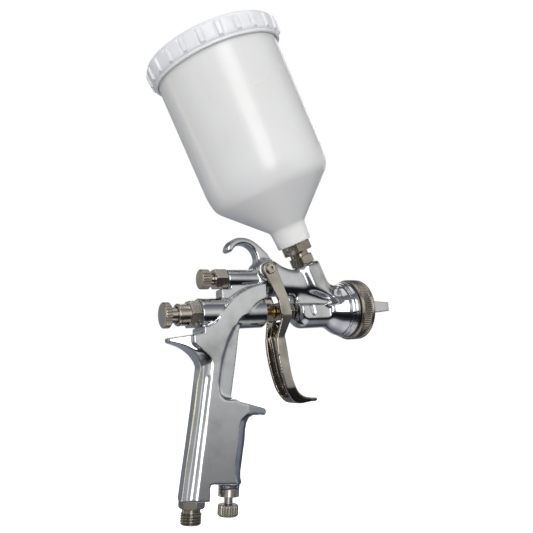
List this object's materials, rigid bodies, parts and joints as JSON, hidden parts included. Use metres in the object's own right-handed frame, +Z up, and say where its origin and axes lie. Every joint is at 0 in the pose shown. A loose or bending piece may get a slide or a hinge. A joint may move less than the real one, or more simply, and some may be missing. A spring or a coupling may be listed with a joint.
{
  "type": "gravity feed spray gun",
  "caption": "Chromed gravity-feed HVLP spray gun with a leaning white plastic cup and ribbed lid, sprung trigger, knurled controls, air cap, hanging hook and a threaded air inlet.",
  "frame": {"origin": "on the air inlet's axis at its first thread crest, at the bottom of the handle", "axes": "+X forward out of the nozzle, +Y to the gun's left, +Z up with the nozzle level"},
  "size_m": [0.1784, 0.1056, 0.3475],
  "materials": {
    "body_chrome": "bright plating over a cast and forged body",
    "nickel": "warm satin nickel, turned and knurled",
    "cap_nickel": "light satin nickel",
    "satin_nickel": "satin plated casting",
    "steel": "turned stainless steel",
    "brass": "turned",
    "packing": "plain fluoropolymer",
    "rubber": "black",
    "cup_plastic": "translucent, warm white",
    "strainer_plastic": "plain",
    "lid_plastic": "moulded, cool white"
  },
  "bodies": {
    "gun": {"gun_body": "body_chrome", "fluid_bushing": "nickel", "air_valve_gland": "brass", "needle_packing": "packing", "packing_nut": "brass", "fluid_nozzle": "steel", "air_baffle": "brass", "fan_bushing": "nickel", "air_inlet": "nickel", "regulator_bushing": "nickel", "trigger_pin": "brass", "trigger_screw": "steel", "needle_spring": "steel", "air_valve_spring": "steel"},
    "trigger": {"trigger": "satin_nickel"},
    "needle": {"fluid_needle": "steel"},
    "air_valve": {"air_valve_stem": "steel"},
    "fluid_stop": {"spring_seat": "steel"},
    "fluid_control": {"fluid_knob": "nickel"},
    "fan_slide": {"fan_oring": "rubber"},
    "fan_control": {"fan_knob": "nickel", "fan_spindle": "steel"},
    "regulator_slide": {"regulator_oring": "rubber"},
    "regulator_control": {"regulator_knob": "nickel", "regulator_spindle": "steel"},
    "cap_carrier": {"cap_seal": "packing"},
    "cap_ring": {"air_cap_ring": "nickel"},
    "spray_cap": {"air_cap": "cap_nickel"},
    "paint_cup": {"cup": "cup_plastic", "cup_outlet": "nickel", "cup_strainer": "strainer_plastic"},
    "lock_nut": {"cup_lock_nut": "nickel"},
    "lid_seal": {"lid_gasket": "rubber"},
    "lid": {"cup_lid": "lid_plastic", "vent_plug": "lid_plastic"}
  },
  "joints": [
    {"name": "trigger_pull", "type": "hinge", "parent": "gun", "child": "trigger", "pos_m": [0.0645, 0, 0.1595], "axis": [0, 1, 0], "range_deg": [0, 12], "stiffness_Nm_per_rad": 1, "springref_deg": -20.05},
    {"name": "needle_pull", "type": "slide", "parent": "gun", "child": "needle", "axis": [-1, 0, 0], "range_m": [0, 0.0069], "deforming": ["needle_spring"]},
    {"name": "air_valve_open", "type": "slide", "parent": "gun", "child": "air_valve", "axis": [-1, 0, 0], "range_m": [0, 0.0069], "deforming": ["air_valve_spring"]},
    {"name": "fluid_advance", "type": "slide", "parent": "gun", "child": "fluid_stop", "axis": [1, 0, 0], "range_m": [-0.003, 0.002]},
    {"name": "fluid_turn", "type": "hinge", "parent": "fluid_stop", "child": "fluid_control", "pos_m": [0, 0, 0.13], "axis": [1, 0, 0], "range_deg": [-1080, 720]},
    {"name": "fan_advance", "type": "slide", "parent": "gun", "child": "fan_slide", "axis": [1, 0, 0], "range_m": [-0.002, 0.0015]},
    {"name": "fan_turn", "type": "hinge", "parent": "fan_slide", "child": "fan_control", "pos_m": [0, 0, 0.1537], "axis": [1, 0, 0], "range_deg": [-720, 540]},
    {"name": "regulator_advance", "type": "slide", "parent": "gun", "child": "regulator_slide", "axis": [0.1219, 0, 0.9925], "range_m": [-0.002, 0.002]},
    {"name": "regulator_turn", "type": "hinge", "parent": "regulator_slide", "child": "regulator_control", "pos_m": [0.0276, 0, 0.016], "axis": [0.1219, 0, 0.9925], "range_deg": [-720, 720]},
    {"name": "ring_advance", "type": "slide", "parent": "gun", "child": "cap_carrier", "axis": [1, 0, 0], "range_m": [0, 0.003]},
    {"name": "ring_turn", "type": "hinge", "parent": "cap_carrier", "child": "cap_ring", "pos_m": [0, 0, 0.13], "axis": [1, 0, 0], "range_deg": [0, 720]},
    {"name": "cap_turn", "type": "hinge", "parent": "cap_carrier", "child": "spray_cap", "pos_m": [0, 0, 0.13], "axis": [1, 0, 0], "range_deg": [-90, 90]},
    {"name": "cup_swivel", "type": "hinge", "parent": "gun", "child": "paint_cup", "pos_m": [0.0945, 0, 0.1795], "axis": [-0.3778, 0, 0.9259], "range_deg": [-30, 30]},
    {"name": "lock_nut_turn", "type": "hinge", "parent": "paint_cup", "child": "lock_nut", "pos_m": [0.0945, 0, 0.1795], "axis": [-0.3778, 0, 0.9259], "range_deg": [0, 90]},
    {"name": "lid_rise", "type": "slide", "parent": "paint_cup", "child": "lid_seal", "axis": [-0.3778, 0, 0.9259], "range_m": [0, 0.004]},
    {"name": "lid_turn", "type": "hinge", "parent": "lid_seal", "child": "lid", "pos_m": [0.0945, 0, 0.1795], "axis": [-0.3778, 0, 0.9259], "range_deg": [0, 360]}
  ],
  "couplings": [
    {"joint": "needle_pull", "follows": "trigger_pull", "m_per_rad": 0.0325},
    {"joint": "air_valve_open", "follows": "trigger_pull", "m_per_rad": 0.0325},
    {"joint": "fluid_turn", "follows": "fluid_advance", "rad_per_m": 6283.2},
    {"joint": "fan_turn", "follows": "fan_advance", "rad_per_m": 6283.2},
    {"joint": "regulator_turn", "follows": "regulator_advance", "rad_per_m": 6283.2},
    {"joint": "ring_turn", "follows": "ring_advance", "rad_per_m": 4188.8},
    {"joint": "lid_turn", "follows": "lid_rise", "rad_per_m": 1570.8}
  ]
}
